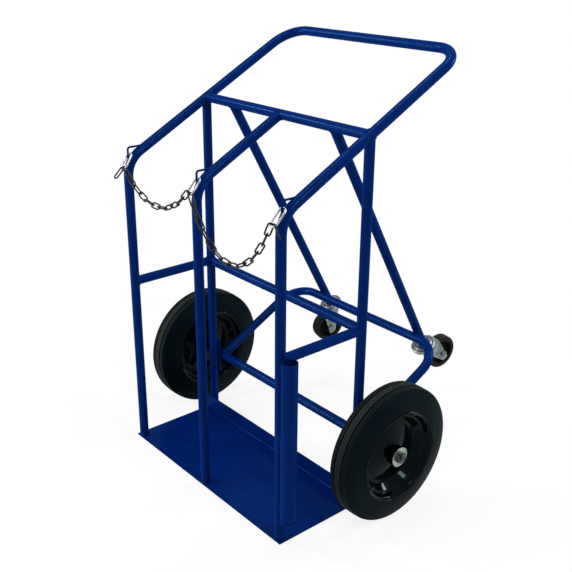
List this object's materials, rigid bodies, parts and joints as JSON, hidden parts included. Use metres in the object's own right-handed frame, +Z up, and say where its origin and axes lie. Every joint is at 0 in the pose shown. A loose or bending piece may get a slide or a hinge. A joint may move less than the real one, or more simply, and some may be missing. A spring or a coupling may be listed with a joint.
{
  "type": "gas cylinder trolley",
  "caption": "Welded tube trolley for two gas cylinders, with large rubber wheels, tilted rear castors, holding chains and a rod holder.",
  "frame": {"origin": "on the floor, in the middle of the base plate's underside", "axes": "+X along the axle to the side with the rod holder, +Y to the back where the handle is, +Z up"},
  "size_m": [0.9876, 0.8832, 1.2677],
  "materials": {
    "blue": "gloss",
    "zinc": "satin",
    "steel": "satin",
    "tyre": "matte",
    "rim": "gloss",
    "castor_rubber": "matte",
    "castor_plastic": "satin",
    "chain": "satin"
  },
  "bodies": {
    "frame": {"handle_frame": "blue", "centre_divider": "blue", "top_cross_bar": "blue", "left_rear_upright": "blue", "right_rear_upright": "blue", "left_side_rail": "blue", "right_side_rail": "blue", "rear_cross_rail": "blue", "base_plate": "blue", "rod_holder": "blue", "rod_holder_cap": "blue", "axle_tube": "blue", "left_axle_strap": "blue", "right_axle_strap": "blue", "castor_frame": "blue", "left_strut": "blue", "right_strut": "blue", "left_eye": "blue", "centre_eye": "blue", "right_eye": "blue", "axle": "zinc", "axle_washers": "zinc", "axle_nuts": "zinc", "left_castor_seat": "blue", "right_castor_seat": "blue", "left_castor_head": "zinc", "right_castor_head": "zinc", "castor_king_bolts": "zinc"},
    "left_wheel": {"left_tyre": "tyre", "left_rim_outer": "rim", "left_rim_inner": "rim", "left_hub": "rim", "left_bearings": "steel"},
    "right_wheel": {"right_tyre": "tyre", "right_rim_outer": "rim", "right_rim_inner": "rim", "right_hub": "rim", "right_bearings": "steel"},
    "left_castor": {"left_castor_fork": "zinc", "left_castor_bolt": "zinc"},
    "left_castor_wheel": {"left_castor_tyre": "castor_rubber", "left_castor_core": "castor_plastic"},
    "right_castor": {"right_castor_fork": "zinc", "right_castor_bolt": "zinc"},
    "right_castor_wheel": {"right_castor_tyre": "castor_rubber", "right_castor_core": "castor_plastic"},
    "chain_set": {"left_hook": "zinc", "centre_hook": "zinc", "right_hook": "zinc", "left_chain": "chain", "right_chain": "chain", "chain_tails": "chain"},
    "left_hook_gate": {"left_gate": "zinc"},
    "centre_hook_gate": {"centre_gate": "zinc"},
    "right_hook_gate": {"right_gate": "zinc"}
  },
  "joints": [
    {"name": "left_wheel_spin", "type": "hinge", "parent": "frame", "child": "left_wheel", "pos_m": [-0.4395, 0.19037, 0.2], "axis": [1, 0, 0], "continuous": true},
    {"name": "right_wheel_spin", "type": "hinge", "parent": "frame", "child": "right_wheel", "pos_m": [0.4395, 0.19037, 0.2], "axis": [1, 0, 0], "continuous": true},
    {"name": "left_castor_swivel", "type": "hinge", "parent": "frame", "child": "left_castor", "pos_m": [-0.215, 0.57258, 0.33189], "axis": [0, -0.4873, 0.8732], "continuous": true},
    {"name": "left_castor_wheel_spin", "type": "hinge", "parent": "left_castor", "child": "left_castor_wheel", "pos_m": [-0.22531, 0.57401, 0.2405], "axis": [0.9728, -0.2024, -0.1129], "continuous": true},
    {"name": "right_castor_swivel", "type": "hinge", "parent": "frame", "child": "right_castor", "pos_m": [0.215, 0.57258, 0.33189], "axis": [0, -0.4873, 0.8732], "continuous": true},
    {"name": "right_castor_wheel_spin", "type": "hinge", "parent": "right_castor", "child": "right_castor_wheel", "pos_m": [0.21942, 0.65047, 0.28318], "axis": [-0.9951, 0.0867, 0.0484], "continuous": true},
    {"name": "chain_swing", "type": "hinge", "parent": "frame", "child": "chain_set", "pos_m": [0, -0.11964, 0.94294], "axis": [-1, 0, 0], "range_deg": [0, 60]},
    {"name": "left_gate_hinge", "type": "hinge", "parent": "chain_set", "child": "left_hook_gate", "pos_m": [-0.32755, -0.1417, 0.91719], "axis": [0, -0.7594, 0.6506], "range_deg": [0, 22], "stiffness_Nm_per_rad": 0.02, "springref_deg": -17.19},
    {"name": "centre_gate_hinge", "type": "hinge", "parent": "chain_set", "child": "centre_hook_gate", "pos_m": [0.011, -0.14372, 0.91484], "axis": [0, -0.7594, 0.6506], "range_deg": [0, 22], "stiffness_Nm_per_rad": 0.02, "springref_deg": -17.19},
    {"name": "right_gate_hinge", "type": "hinge", "parent": "chain_set", "child": "right_hook_gate", "pos_m": [0.35373, -0.14425, 0.91422], "axis": [0, -0.7594, 0.6506], "range_deg": [0, 22], "stiffness_Nm_per_rad": 0.02, "springref_deg": -17.19}
  ]
}
